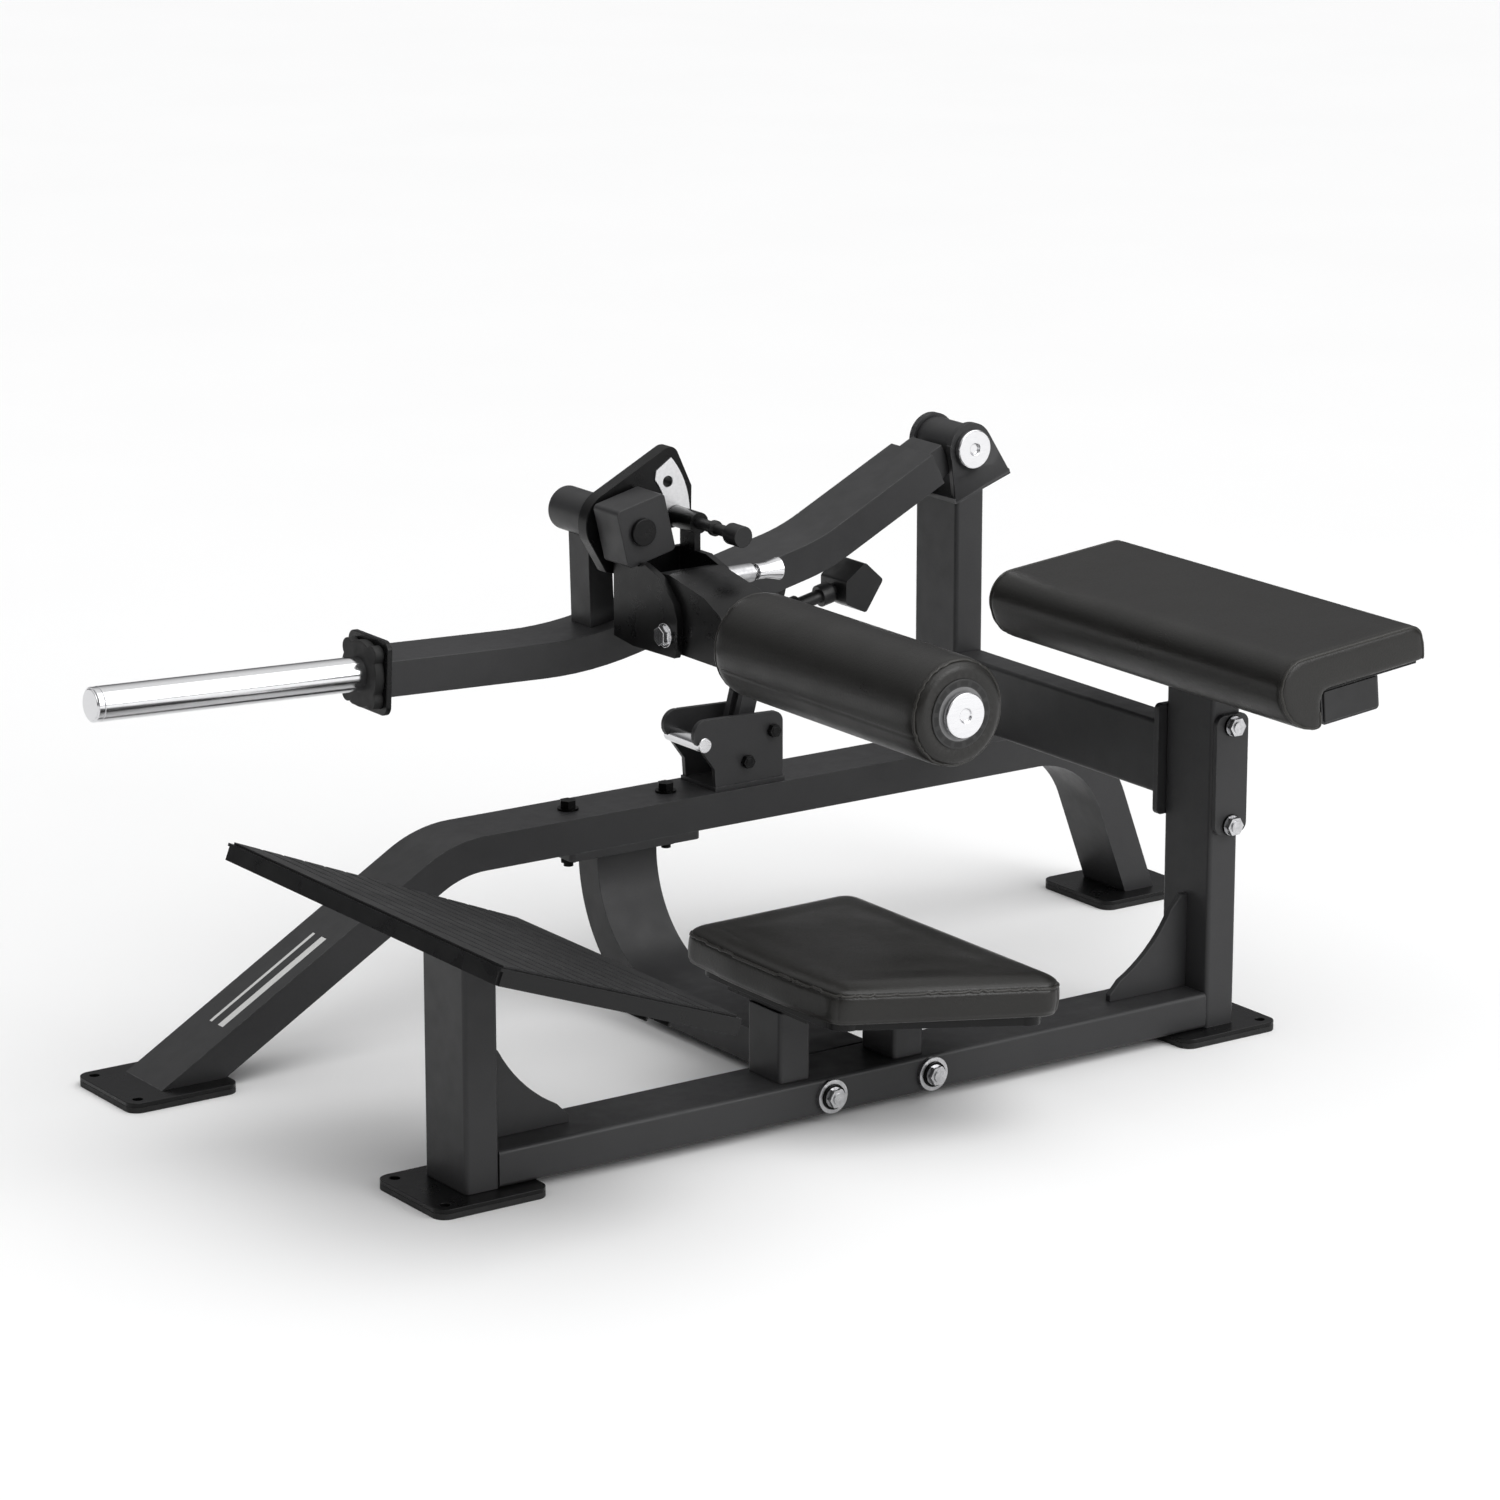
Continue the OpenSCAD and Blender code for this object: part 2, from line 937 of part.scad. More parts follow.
module lock_plunger() {
  color("#a9a9ab")
    translate([fork_x1 - 0.2, lock_y, lock_z]) {
      xcyl(12, 94);
      translate([60, 0, 0])
        xcyl(22, 16);
      translate([76 - e, 0, 0])
        rotate([0, 90, 0])
          cylinder(d1 = 22, d2 = 32, h = 22, $fn = 64);
    }
}

module fold_bolt() {
  color("#d0d0d2") {
    translate([fork_x0 - 12, fold_y, fold_z])
      xcyl(16, 138);
    for (x = [fork_x0 - 4, fork_x1 + fork_t])
      translate([x, fold_y, fold_z])
        xcyl(34, 4);
    for (x = [fork_x0 - 13, fork_x1 + fork_t + 4])
      translate([x, fold_y, fold_z])
        rotate([0, 90, 0])
          cylinder(d = 27, h = 9 + e, $fn = 6);
  }
}

// ---------- hip roller ----------

module roller_arm() {
  w = fork_x1 - fork_x0 - fork_t - 1;
  x0 = fork_x0 + fork_t + 0.5;
  color("#202021")
    difference() {
      union() {
        yz(x0, x0 + w)
          union() {
            translate([fold_y, fold_z])
              circle(26, $fn = 96);
            polygon([[fold_y + 8, fold_z - 25], [fold_y + 26, fold_z], [lock_y + 18, lock_z],
              [lock_y + 14, lock_z + 16], [lock_y - 12, lock_z + 18], [300, 640], [262, 622],
              [250, 606], [250, 566], [262, 550]]);
          }
        translate([roll_x, 250, roll_z])
          rotate([180, 0, 0])
            ycyl(56, 12);
        translate([roll_x, -roller_half - 2, roll_z])
          ycyl(shaft_d, roller_half + 253);
      }
      translate([x0 - 1, fold_y, fold_z])
        xcyl(16 + 2 * fit, w + 2);
      for (a = [0, 40])
        translate([x0 + w - 14, fold_y, fold_z])
          rotate([a, 0, 0])
            translate([0, lock_y - fold_y, lock_z - fold_z])
              xcyl(12.1, 15);
    }
}

// chrome disc on the free end of the roller shaft
module roller_cap() {
  color("#cfcfd1")
    translate([roll_x, -roller_half - 10, roll_z])
      difference() {
        ycyl(60, 8);
        translate([0, -1, 0])
          ycyl(18, 4);
      }
}

module roller_core() {
  color("#3a3a3b")
    translate([roll_x, -roller_half, roll_z])
      difference() {
        union() {
          ycyl(44, 2 * roller_half);
          ycyl(92, 4);
          translate([0, 2 * roller_half - 4, 0])
            ycyl(92, 4);
        }
        translate([0, -1, 0])
          ycyl(shaft_d + 2 * fit, 2 * roller_half + 2);
      }
}

module roller_pad() {
  color("#2a2926")
    translate([roll_x, -roller_half, roll_z])
      difference() {
        union() {
          translate([0, 8, 0])
            ycyl(roller_d, 2 * roller_half - 16);
          ycyl(roller_d - 14, 2 * roller_half);
        }
        translate([0, -1, 0])
          ycyl(44, 2 * roller_half + 2);
        translate([0, -1, 0])
          ycyl(92, 5);
        translate([0, 2 * roller_half - 4, 0])
          ycyl(92, 5);
      }
}

// ---------- start stop ----------

module stop_bracket() {
  color("#343436")
    difference() {
      union() {
        translate([786, ly0 + 6, arch_top])
          cube([120, 88, 6]);
        for (y = [ly0 + 8, ly1 - 16])
          xz(y, y + 8)
            difference() {
              union() {
                polygon([[788, arch_top + 5], [904, arch_top + 5], [904, 372], [888, 388], [778, 392],
                  [760, 386], [751, 366], [786, 318]]);
                translate([888, 372])
                  circle(16, $fn = 48);
                translate([772, 371])
                  circle(21, $fn = 48);
              }
            }
      }
      for (p = [[stop_x, stop_z], [886, arch_top + 76]])
        translate([p[0], ly0, p[1]])
          ycyl(12, 100);
      translate([768, ly0, 356])
        ycyl(22, 100);
    }
}

module stop_bolts() {
  color("#6f6f71")
    for (p = [[stop_x, stop_z], [886, arch_top + 76]]) {
      translate([p[0], ly0 - 2, p[1]])
        ycyl(12, 104);
      translate([p[0], ly0 - 1, p[1]])
        yhex(20, 9 + e);
      translate([p[0], ly1 - 8 - e, p[1]])
        yhex(20, 9);
    }
}

module rest_pin() {
  color("#d9d9db")
    translate([768, ly0 + 5, 356])
      ycyl(22, 90);
}

// leaning strut axes: z along the strut from its pivot
module strut_axes() {
  translate([stop_x, lever_y, stop_z])
    rotate([0, strut_a, 0])
      children();
}

module catch_strut() {
  color("#3a3a3c")
    strut_axes()
      difference() {
        union() {
          translate([0, -20, 0])
            ycyl(30, 40);
          translate([-13, -18, 0])
            cube([26, 36, 216]);
          translate([-22, -22, 215])
            cube([44, 44, 8]);
        }
        translate([0, -30, 0])
          ycyl(12 + 2 * fit, 60);
        translate([-14, -7, 24])
          cube([8, 14, 170]);
        translate([0, 0, handle_up])
          rotate([0, 90 - handle_a - strut_a, 0])
            translate([0, 0, 2])
              cylinder(d = 20, h = 40, $fn = 64);
      }
}

// rubber pad on the strut, cut parallel to the underside of the lever arm
module catch_pad() {
  a = dir(lever_v1, lever_v2);
  color("#141414")
    difference() {
      strut_axes()
        translate([-20, -20, 223])
          cube([40, 40, 30]);
      translate([lever_v1[0], lever_y, lever_v1[1]])
        rotate([0, -a, 0])
          translate([200, -50, -tube_h / 2 - 1])
            cube([300, 100, 80]);
    }
}

// handle rod axes: x along the rod, origin where it meets the strut
module handle_axes() {
  translate([stop_x + handle_up * sin(strut_a), lever_y, stop_z + handle_up * cos(strut_a)])
    rotate([0, -handle_a, 0])
      children();
}

module catch_handle() {
  color("#8c8c8e")
    handle_axes() {
      translate([2, 0, 0])
        xcyl(20, 164);
      translate([60, 0, 0])
        xcyl(30, 8);
      translate([106, 0, 0])
        xcyl(32, 20);
    }
}

module catch_grip() {
  color("#171717")
    handle_axes()
      difference() {
        xz(-33, 30)
          offset(5, $fn = 40)
            offset(-5)
              polygon([[129, -14], [136, 18], [174, 35], [199, 0], [160, -38]]);
        translate([100, 0, 0])
          xcyl(20, 68);
      }
}

base_rail();
front_post();
back_post();
arch_tube();
upright();
cross_beam();
curved_link();
gussets();
foot_front_near();
foot_back_near();
foot_front_far();
foot_back_far();
rubber_feet();
footplate_tray();
footplate_tread();
footplate_mount();
footplate_rib();
seat_posts();
seat_bracket();
seat_cushion();
back_tube();
back_board();
back_cushion();
tube_plugs();
clamp_plate();
frame_bolts();
pivot_bracket();
pivot_shaft();
pivot_caps();
stop_bracket();
stop_bolts();
rest_pin();
catch_strut();
catch_pad();
catch_handle();
catch_grip();
lever_arm();
lever_sleeve();
lever_bushes();
horn_flange();
horn_stop();
weight_horn();
horn_cap();
barrel_post();
barrel();
barrel_shaft();
sector_plate();
sector_strip();
hub_box();
hub_cap();
fork();
pin_bracket();
index_pin();
plunger_body();
lock_plunger();
fold_bolt();
roller_arm();
roller_cap();
roller_core();
roller_pad();
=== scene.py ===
import json
import math

import bmesh
import bpy
from mathutils import Matrix, Vector
from mathutils.bvhtree import BVHTree
from mathutils.kdtree import KDTree


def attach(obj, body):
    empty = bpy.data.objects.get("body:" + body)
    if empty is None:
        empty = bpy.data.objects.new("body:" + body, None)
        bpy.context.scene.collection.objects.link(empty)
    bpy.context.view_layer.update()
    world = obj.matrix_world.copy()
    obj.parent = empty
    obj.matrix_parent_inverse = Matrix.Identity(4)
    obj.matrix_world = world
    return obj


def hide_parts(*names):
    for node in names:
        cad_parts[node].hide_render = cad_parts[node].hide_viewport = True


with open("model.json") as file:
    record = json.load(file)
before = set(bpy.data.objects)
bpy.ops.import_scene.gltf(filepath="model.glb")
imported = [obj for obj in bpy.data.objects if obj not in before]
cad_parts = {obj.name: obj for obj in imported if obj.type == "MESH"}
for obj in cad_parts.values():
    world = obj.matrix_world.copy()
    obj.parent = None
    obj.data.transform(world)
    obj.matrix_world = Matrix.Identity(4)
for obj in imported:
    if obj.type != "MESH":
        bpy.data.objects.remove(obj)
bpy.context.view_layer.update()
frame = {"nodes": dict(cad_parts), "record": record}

SCENE = bpy.context.scene
NODES = frame["nodes"]
SLOT = {s["node"]: s["material_slot"] for s in frame["record"]["subparts"]}
# roller: axis position in X and Z, half length, radius of the cover
RX, RZ, RY, RR = 0.637, 0.5875, 0.232, 0.0725


# ---------- materials ----------

# width of the edge band painted lighter, for rubbed wear and a painted edge highlight
EDGE_WEAR_AND_HIGHLIGHT_WIDTH = 0.0016


class Mat:
    """A Principled material with object-space procedural detail."""

    def __init__(self, name, rough=0.5, metallic=0.0, **sockets):
        self.m = bpy.data.materials.new(name)
        self.m.use_nodes = True
        self.nt = self.m.node_tree
        self.p = self.nt.nodes["Principled BSDF"]
        self.p.inputs["Roughness"].default_value = rough
        self.p.inputs["Metallic"].default_value = metallic
        for k, v in sockets.items():
            self.p.inputs[k.replace("_", " ")].default_value = v
        self.co = self.nt.nodes.new("ShaderNodeTexCoord").outputs["Object"]

    def link(self, a, b):
        self.nt.links.new(a, b)

    def noise(self, scale, detail=3.0, stretch=None):
        n = self.nt.nodes.new("ShaderNodeTexNoise")
        n.inputs["Scale"].default_value = scale
        n.inputs["Detail"].default_value = detail
        self.link(self.stretched(stretch), n.inputs["Vector"])
        return n.outputs["Fac"]

    def cells(self, scale, feature="F1", stretch=None, smooth=None):
        n = self.nt.nodes.new("ShaderNodeTexVoronoi")
        n.feature = feature
        n.inputs["Scale"].default_value = scale
        if smooth is not None:
            n.inputs["Smoothness"].default_value = smooth
        self.link(self.stretched(stretch), n.inputs["Vector"])
        return n.outputs["Distance"]

    def stretched(self, stretch):
        if stretch is None:
            return self.co
        n = self.nt.nodes.new("ShaderNodeMapping")
        n.inputs["Scale"].default_value = stretch
        self.link(self.co, n.inputs["Vector"])
        return n.outputs["Vector"]

    def ranged(self, value, lo, hi, from_lo=0.3, from_hi=0.7):
        n = self.nt.nodes.new("ShaderNodeMapRange")
        for k, v in zip(("From Min", "From Max", "To Min", "To Max"), (from_lo, from_hi, lo, hi)):
            n.inputs[k].default_value = v
        self.link(value, n.inputs["Value"])
        return n.outputs["Result"]

    def mix(self, fac, a, b):
        n = self.nt.nodes.new("ShaderNodeMix")
        n.data_type = "RGBA"
        self.link(fac, n.inputs[0])
        for i, c in ((6, a), (7, b)):
            if isinstance(c, tuple):
                n.inputs[i].default_value = (*c, 1)
            else:
                self.link(c, n.inputs[i])
        return n.outputs[2]

    def math(self, op, a, b):
        n = self.nt.nodes.new("ShaderNodeMath")
        n.operation = op
        for i, v in enumerate((a, b)):
            if isinstance(v, (int, float)):
                n.inputs[i].default_value = v
            else:
                self.link(v, n.inputs[i])
        return n.outputs[0]

    def vector(self, op, a, b):
        n = self.nt.nodes.new("ShaderNodeVectorMath")
        n.operation = op
        for i, v in enumerate((a, b)):
            if isinstance(v, tuple):
                n.inputs[i].default_value = v
            elif v is not None:
                self.link(v, n.inputs[i])
        return n.outputs["Value" if op in ("LENGTH", "DOT_PRODUCT") else "Vector"]

    def off_line(self, at, keep):
        """Distance from a line through a point; keep is zero along the line's own direction."""
        return self.vector("LENGTH", self.vector("MULTIPLY", self.vector("SUBTRACT", self.co, at), keep), None)

    def within(self, value, lo, hi):
        """1 where lo < value < hi."""
        return self.math("MULTIPLY", self.math("GREATER_THAN", value, lo), self.math("LESS_THAN", value, hi))

    def along(self, at, direction):
        """Signed distance from a point along a unit direction."""
        return self.vector("DOT_PRODUCT", self.vector("SUBTRACT", self.co, at), direction)

    def color(self, value):
        self.link(value, self.p.inputs["Base Color"])

    def rough(self, value):
        self.link(value, self.p.inputs["Roughness"])

    def bump(self, height, distance, strength=1.0):
        n = self.nt.nodes.new("ShaderNodeBump")
        n.inputs["Strength"].default_value = strength
        n.inputs["Distance"].default_value = distance
        self.link(height, n.inputs["Height"])
        self.link(n.outputs["Normal"], self.p.inputs["Normal"])


def worn_and_highlit_edges(m, lo, hi):
    """Mask that is 1 on rounded-over edges, from the difference between bevelled and true normal, broken into
    patches; it paints the edges lighter, as rubbed wear and as a painted edge highlight.
    """
    b = m.nt.nodes.new("ShaderNodeBevel")
    b.samples = 4
    b.inputs["Radius"].default_value = EDGE_WEAR_AND_HIGHLIGHT_WIDTH
    g = m.nt.nodes.new("ShaderNodeNewGeometry")
    same = m.vector("DOT_PRODUCT", b.outputs["Normal"], g.outputs["Normal"])
    edge = m.ranged(same, 1.0, 0.0, 0.86, 0.995)
    spots = m.ranged(m.noise(90, 6), 0.0, 1.0, lo, hi)
    return m.math("MULTIPLY", edge, spots)


def powder(name, dark, light, edge_wear_and_highlight, rough, shine=0.3, extra=None):
    """Powder-coated steel: orange-peel bump, faint mottling, edges painted a little lighter as rubbed wear and as a
    painted edge highlight.
    """
    m = Mat(name, rough=rough, Specular_IOR_Level=shine)
    broad = m.ranged(m.noise(7, 4), 0.0, 1.0)
    fine = m.ranged(m.noise(380, 3), 0.0, 1.0)
    tone = m.mix(m.math("ADD", m.math("MULTIPLY", broad, 0.6), m.math("MULTIPLY", fine, 0.4)), dark, light)
    # edges painted lighter: patchy rubbed wear and a painted edge highlight
    tone = m.mix(worn_and_highlit_edges(m, 0.42, 0.66), tone, edge_wear_and_highlight)
    m.color(extra(m, tone) if extra else tone)
    m.rough(m.ranged(m.noise(34, 5), rough - 0.06, rough + 0.07))
    m.bump(m.noise(620, 4), 0.00016, 0.5)
    return m.m


def leather(name, dark, light, rough):
    """Fine-grained upholstery leatherette: pebbled cells, creases and a soft satin."""
    m = Mat(name, rough=rough, Specular_IOR_Level=0.38)
    cells = m.cells(620, "SMOOTH_F1", smooth=0.6)
    big = m.cells(240, "SMOOTH_F1", smooth=0.9)
    grain = m.math("ADD", m.math("MULTIPLY", cells, 0.7), m.math("MULTIPLY", big, 0.5))
    tone = m.mix(m.ranged(m.noise(9, 4), 0.0, 1.0), dark, light)
    m.color(m.mix(m.ranged(cells, 0.0, 0.5, 0.15, 0.75), tone, tuple(c * 0.62 for c in dark)))
    m.rough(m.math("ADD", m.ranged(m.noise(16, 5), rough - 0.05, rough + 0.06), m.ranged(cells, 0.0, 0.08, 0.2, 0.8)))
    m.bump(grain, 0.0006, 0.32)
    return m.m


def metal(name, tone, shade, rough, stretch=None, scratch=0.05, scale=60):
    """Bare or plated metal with faint brushed streaks and fingerprints in its gloss."""
    m = Mat(name, rough=rough, metallic=1.0)
    streak = m.noise(scale, 5, stretch)
    m.color(m.mix(m.ranged(streak, 0.0, 1.0), tone, shade))
    m.rough(m.math("ADD", m.ranged(streak, rough, rough + scratch), m.ranged(m.noise(22, 4), 0.0, 0.04)))
    m.bump(m.noise(900, 3, stretch), 0.00003, 0.35)
    return m.m


def moulded(name, dark, light, rough, scale=500, depth=0.0002):
    """Moulded rubber or plastic with a fine grain."""
    m = Mat(name, rough=rough, Specular_IOR_Level=0.4)
    m.color(m.mix(m.ranged(m.noise(25, 5), 0.0, 1.0), dark, light))
    m.rough(m.ranged(m.noise(60, 4), rough - 0.07, rough + 0.08))
    m.bump(m.noise(scale, 4), depth, 0.5)
    return m.m


def tread(name):
    """Anti-slip sheet: close raised pebbles, coloured darker in the low places between them."""
    m = Mat(name, rough=0.7, Specular_IOR_Level=0.35)
    pebbles = m.cells(330, "SMOOTH_F1", smooth=0.35)
    # low places between the pebbles coloured darker than the raised tops
    m.color(m.mix(m.ranged(pebbles, 0.0, 1.0, 0.15, 0.7), (0.0115, 0.0115, 0.012), (0.0055, 0.0055, 0.006)))
    m.rough(m.ranged(m.noise(14, 5), 0.55, 0.74))
    m.bump(m.math("SUBTRACT", 1.0, pebbles), 0.0007, 0.6)
    return m.m


# dark and light mottling tones, the lighter edge tone for rubbed wear and a painted edge highlight, then roughness
PAINT_TONES = ((0.026, 0.026, 0.027), (0.033, 0.033, 0.034), (0.085, 0.085, 0.088), 0.42)


LEG_TOP = (0.3544, 0.585, 0.26)
LEG_SLOPE = math.radians(30.28)
LEG_FACE = 0.0246
BAR_REACH = (0.215, 0.405)
BARS = ((-0.026, -0.013), (0.004, 0.010))


def stripes(m, tone):
    """Two plain light bars on the sloping top face of the front leg of the side tube."""
    c, s = math.cos(LEG_SLOPE), math.sin(LEG_SLOPE)
    down = m.along(LEG_TOP, (-c, 0, -s))
    face = m.math("GREATER_THAN", m.along(LEG_TOP, (-s, 0, c)), LEG_FACE)
    side = m.along(LEG_TOP, (0, 1, 0))
    bars = m.math("MAXIMUM", m.within(side, *BARS[0]), m.within(side, *BARS[1]))
    mask = m.math("MULTIPLY", m.math("MULTIPLY", bars, face), m.within(down, *BAR_REACH))
    return m.mix(mask, tone, (0.62, 0.62, 0.61))


PAINT = powder("frame_paint", *PAINT_TONES)
ARCH_PAINT = powder("arch_paint", *PAINT_TONES, extra=stripes)
# third tone: the black paint's edges painted lighter, as rubbed wear and a painted edge highlight
BLACK = powder("black_paint", (0.003, 0.003, 0.0032), (0.0048, 0.0048, 0.005), (0.026, 0.026, 0.027), 0.30, 0.22)
LEATHER = leather("pad_leather", (0.0088, 0.0082, 0.0070), (0.0112, 0.0105, 0.0090), 0.31)
# piping leather painted lighter than the pad leather: a painted highlight along the seams
PIPING_HIGHLIT_LEATHER = leather("piping_leather_painted_highlight", (0.019, 0.018, 0.0155), (0.024, 0.0225, 0.0195), 0.30)
RUBBER = moulded("rubber", (0.0065, 0.0065, 0.0065), (0.0105, 0.0105, 0.0105), 0.62)
PLASTIC = moulded("plastic", (0.0085, 0.0085, 0.009), (0.0125, 0.0125, 0.013), 0.42, 700, 0.00012)
CHROME = metal("chrome", (0.74, 0.74, 0.75), (0.66, 0.66, 0.675), 0.09, (1, 30, 30), 0.06)
ZINC = metal("zinc", (0.50, 0.50, 0.51), (0.36, 0.36, 0.37), 0.27, None, 0.10, 140)
BRONZE = metal("bronze", (0.34, 0.24, 0.11), (0.26, 0.18, 0.085), 0.33, None, 0.08, 120)
TREAD = tread("tread")
BY_SLOT = {"frame_paint": PAINT, "black_paint": BLACK, "pad_cover": LEATHER, "rubber": RUBBER,
           "plastic": PLASTIC, "chrome": CHROME, "zinc": ZINC, "bronze": BRONZE}


BOLT_AXES = ((0.5655, 0.039), (0.7305, 0.039), (1.234, 0.304), (1.234, 0.445))
HEX_REACH, SPRING_REACH, NEAR_BOLT = 0.0139, 0.0175, 0.03


def bolt_zinc(name):
    """Plated hexagons and wide washers, a dark ring between them; the bolts on the side tube are black."""
    m = Mat(name, rough=0.3, metallic=1.0)
    d = None
    for x, z in BOLT_AXES:
        one = m.off_line((x, 0, z), (1, 0, 1))
        d = one if d is None else m.math("MINIMUM", d, one)
    dark = m.math("MAXIMUM", m.within(d, HEX_REACH, SPRING_REACH), m.math("GREATER_THAN", d, NEAR_BOLT))
    n = m.noise(140, 5)
    plated = m.mix(m.ranged(n, 0.0, 1.0), (0.62, 0.62, 0.63), (0.42, 0.42, 0.43))
    m.color(m.mix(dark, plated, (0.012, 0.012, 0.012)))
    m.rough(m.math("ADD", m.ranged(n, 0.24, 0.36), m.math("MULTIPLY", dark, 0.12)))
    return m.m


GREY_REACH, SLOT_REACH, SLOT_COUNT = 0.0355, (0.0372, 0.0432), 14


def end_plate(name):
    """Grey moulded end ring with a dark slotted rim, the slots painted darker than the ribs between them as painted
    shade in the slots.
    """
    m = Mat(name, rough=0.4, Specular_IOR_Level=0.4)
    centre = (RX, 0, RZ)
    r = m.off_line(centre, (1, 0, 1))
    sep = m.nt.nodes.new("ShaderNodeSeparateXYZ")
    m.link(m.vector("SUBTRACT", m.co, centre), sep.inputs[0])
    turn = m.math("ARCTAN2", sep.outputs["Z"], sep.outputs["X"])
    slots = m.math("GREATER_THAN", m.math("SINE", m.math("MULTIPLY", turn, SLOT_COUNT), 0), -0.55)
    rim = m.math("MULTIPLY", m.within(r, *SLOT_REACH), slots)
    grey = m.mix(m.ranged(m.noise(60, 4), 0.0, 1.0), (0.14, 0.14, 0.142), (0.19, 0.19, 0.192))
    # slots in the rim painted darker than the ribs: painted shade in the recesses
    dark = m.mix(rim, (0.016, 0.016, 0.016), (0.0035, 0.0035, 0.0035))
    m.color(m.mix(m.math("GREATER_THAN", r, GREY_REACH), grey, dark))
    m.rough(m.ranged(m.noise(40, 4), 0.34, 0.46))
    m.bump(rim, 0.0008, -1.0)
    return m.m


SATIN = metal("satin_plate", (0.86, 0.86, 0.87), (0.76, 0.76, 0.77), 0.30, None, 0.08, 200)
BY_NODE = {"footplate_tread": TREAD, "footplate_tray": BLACK, "arch_tube": ARCH_PAINT, "hub_box": PAINT,
           "roller_core": end_plate("end_plate"), "plunger_body": ZINC, "catch_handle": PLASTIC,
           "frame_bolts": bolt_zinc("bolt_zinc"), "stop_bolts": BLACK, "sector_strip": SATIN}


# ---------- CAD nodes: better materials, rounded edges ----------

EDGE = 0.0012
BEVEL = {"weight_horn": 0.0015, "roller_cap": 0.0018, "pivot_caps": 0.0022, "catch_grip": 0.003,
         "tube_plugs": 0.002, "horn_stop": 0.0025, "sector_strip": 0.0004,
         "frame_bolts": 0.0008, "fold_bolt": 0.0008, "stop_bolts": 0.0008, "footplate_tread": 0.0004}


def soften(o, width):
    """Merges split vertices, joins flat faces and rounds the edges by modifiers; the mesh stays as loaded."""
    w = o.modifiers.new("weld", "WELD")
    w.merge_threshold = 0.00002
    d = o.modifiers.new("planar", "DECIMATE")
    d.decimate_type = "DISSOLVE"
    d.angle_limit = math.radians(0.4)
    b = o.modifiers.new("edge", "BEVEL")
    b.width = width
    b.segments = 3
    b.limit_method = "ANGLE"
    b.angle_limit = math.radians(38)
    b.use_clamp_overlap = True
    b.miter_outer = "MITER_ARC"
    n = o.modifiers.new("normals", "WEIGHTED_NORMAL")
    n.weight = 80
    n.keep_sharp = False


for name, o in NODES.items():
    mat = BY_NODE.get(name) or BY_SLOT[SLOT[name]]
    for i in range(len(o.data.materials)):
        o.data.materials[i] = mat
    o.data.polygons.foreach_set("use_smooth", [True] * len(o.data.polygons))
    if name not in ("seat_cushion", "back_cushion", "roller_pad"):
        soften(o, BEVEL.get(name, EDGE))


# ---------- helpers for own pieces ----------

def new_object(name, me, mat, body):
    """Smooth-shaded object with one material, riding on a body when one is given."""
    o = bpy.data.objects.new(name, me)
    SCENE.collection.objects.link(o)
    me.materials.clear()
    me.materials.append(mat)
    for p in me.polygons:
        p.use_smooth = True
    if body:
        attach(o, body)
    return o


def evaluated(o):
    """New mesh with the object's modifiers applied."""
    dg = bpy.context.evaluated_depsgraph_get()
    dg.update()
    return bpy.data.meshes.new_from_object(o.evaluated_get(dg))


def baked(o, kind, **values):
    """Adds a modifier, sets it and applies it."""
    mod = o.modifiers.new(kind.lower(), kind)
    for k, v in values.items():
        setattr(mod, k, v)
    me = evaluated(o)
    o.modifiers.clear()
    old = o.data
    o.data = me
    bpy.data.meshes.remove(old)


def resample(path, step, closed):
    """Points at equal steps along a path."""
    pts = [Vector(p) for p in path]
    if closed:
        pts.append(pts[0])
    out, left = [pts[0]], step
    for a, b in zip(pts, pts[1:]):
        d = (b - a).length
        t = left
        while t <= d:
            out.append(a.lerp(b, t / d))
            t += step
        left = t - d
    if not closed:
        out.append(pts[-1])
    return out


def puffed(o, pressure, cap, weight, voxel=0.005, frames=20):
    """Fills a padded piece by a pressure cloth simulation; weight says how far each point may move, 0 to 1."""
    baked(o, "REMESH", mode="VOXEL", voxel_size=voxel, use_smooth_shade=True)
    baked(o, "CORRECTIVE_SMOOTH", factor=0.5, iterations=4, use_only_smooth=True)
    rest = [v.co.copy() for v in o.data.vertices]
    free = [weight(v.co, v.normal) for v in o.data.vertices]
    pin = o.vertex_groups.new(name="pin")
    for i, w in enumerate(free):
        pin.add([i], 1.0 - w, "REPLACE")
    c = o.modifiers.new("cloth", "CLOTH")
    c.settings.use_pressure = True
    c.settings.uniform_pressure_force = pressure
    c.settings.vertex_group_mass = "pin"
    c.settings.effector_weights.gravity = 0
    c.settings.quality = 5
    c.settings.tension_stiffness = 12
    c.settings.compression_stiffness = 12
    c.settings.bending_stiffness = 0.6
    c.point_cache.frame_start, c.point_cache.frame_end = 1, frames
    for f in range(1, frames + 1):
        SCENE.frame_set(f)
    moved = [v.co.copy() for v in evaluated(o).vertices]
    o.modifiers.clear()
    o.vertex_groups.clear()
    SCENE.frame_set(1)
    for v, p, q, w in zip(o.data.vertices, rest, moved, free):
        d = q - p
        if d.length > cap * w:
            d *= cap * w / max(d.length, 1e-9)
        v.co = p + d
    baked(o, "SUBSURF", levels=1, render_levels=1)


def groove(o, path, depth, width):
    """Presses a sewn line into a mesh along a path of points."""
    tree = KDTree(len(path))
    for i, p in enumerate(path):
        tree.insert(p, i)
    tree.balance()
    normals = [v.normal.copy() for v in o.data.vertices]
    for v, n in zip(o.data.vertices, normals):
        d = tree.find(v.co)[2]
        if d < width * 3:
            v.co -= n * depth * math.exp(-(d / width) ** 2)


def on_surface(o, path, lift):
    """Nearest points of the mesh to a path, raised by lift along the surface normal."""
    tree = BVHTree.FromPolygons([v.co for v in o.data.vertices], [p.vertices for p in o.data.polygons])
    out = []
    for p in path:
        q, n, _, _ = tree.find_nearest(p)
        out.append(q + n * lift)
    return out


